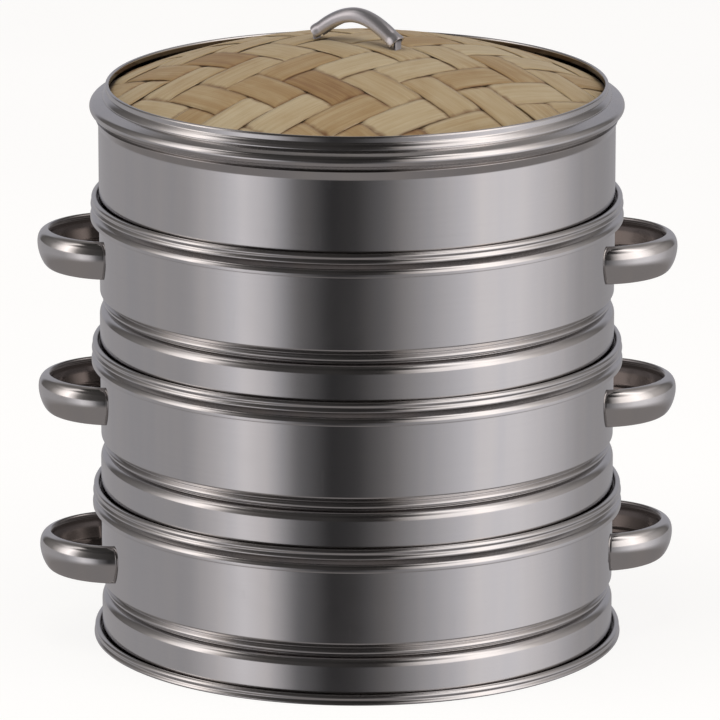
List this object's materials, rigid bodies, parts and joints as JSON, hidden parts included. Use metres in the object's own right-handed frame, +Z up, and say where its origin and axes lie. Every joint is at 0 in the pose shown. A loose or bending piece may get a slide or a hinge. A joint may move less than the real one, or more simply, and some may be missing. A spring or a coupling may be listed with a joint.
{
  "type": "stacking steamer with woven lid",
  "caption": "Stack of round steel steaming tiers with looped side handles, each holding a loose perforated plate, under a steel-rimmed lid of domed woven bamboo with a strap handle.",
  "frame": {"origin": "centre of the base, on the surface that the steamer stands on", "axes": "+Z up through the middle of the stack, the side handles along X, the front towards -Y"},
  "size_m": [0.3232, 0.2688, 0.3238],
  "materials": {
    "tier_steel": "bright polished stainless steel",
    "handle_steel": "mirror polished stainless steel",
    "plate_steel": "satin stainless steel",
    "strap_steel": "satin pressed steel",
    "weave_bamboo": "split bamboo strips, bare and fibrous",
    "inner_bamboo": "split bamboo strips, bare and fibrous",
    "hoop_bamboo": "bent bamboo, bare"
  },
  "bodies": {
    "bottom_tier": {"bottom_tier_shell": "tier_steel", "bottom_tier_handle_left": "handle_steel", "bottom_tier_handle_right": "handle_steel"},
    "bottom_plate": {"bottom_steam_plate": "plate_steel"},
    "middle_tier": {"middle_tier_shell": "tier_steel", "middle_tier_handle_left": "handle_steel", "middle_tier_handle_right": "handle_steel"},
    "middle_plate": {"middle_steam_plate": "plate_steel"},
    "top_tier": {"top_tier_shell": "tier_steel", "top_tier_handle_left": "handle_steel", "top_tier_handle_right": "handle_steel"},
    "top_plate": {"top_steam_plate": "plate_steel"},
    "lid": {"lid_ring": "tier_steel", "lid_weave_outer": "weave_bamboo", "lid_weave_inner": "inner_bamboo", "lid_hoop": "hoop_bamboo", "lid_handle": "strap_steel", "lid_handle_washer_front": "plate_steel", "lid_handle_washer_back": "plate_steel"}
  },
  "joints": [
    {"name": "middle_tier_lift", "type": "slide", "parent": "bottom_tier", "child": "middle_tier", "axis": [0, 0, 1], "range_m": [0, 0.08]},
    {"name": "top_tier_lift", "type": "slide", "parent": "middle_tier", "child": "top_tier", "axis": [0, 0, 1], "range_m": [0, 0.08]},
    {"name": "lid_lift", "type": "slide", "parent": "top_tier", "child": "lid", "axis": [0, 0, 1], "range_m": [0, 0.08]},
    {"name": "bottom_plate_lift", "type": "slide", "parent": "bottom_tier", "child": "bottom_plate", "axis": [0, 0, 1], "range_m": [0, 0.042]},
    {"name": "middle_plate_lift", "type": "slide", "parent": "middle_tier", "child": "middle_plate", "axis": [0, 0, 1], "range_m": [0, 0.042]},
    {"name": "top_plate_lift", "type": "slide", "parent": "top_tier", "child": "top_plate", "axis": [0, 0, 1], "range_m": [0, 0.042]}
  ]
}
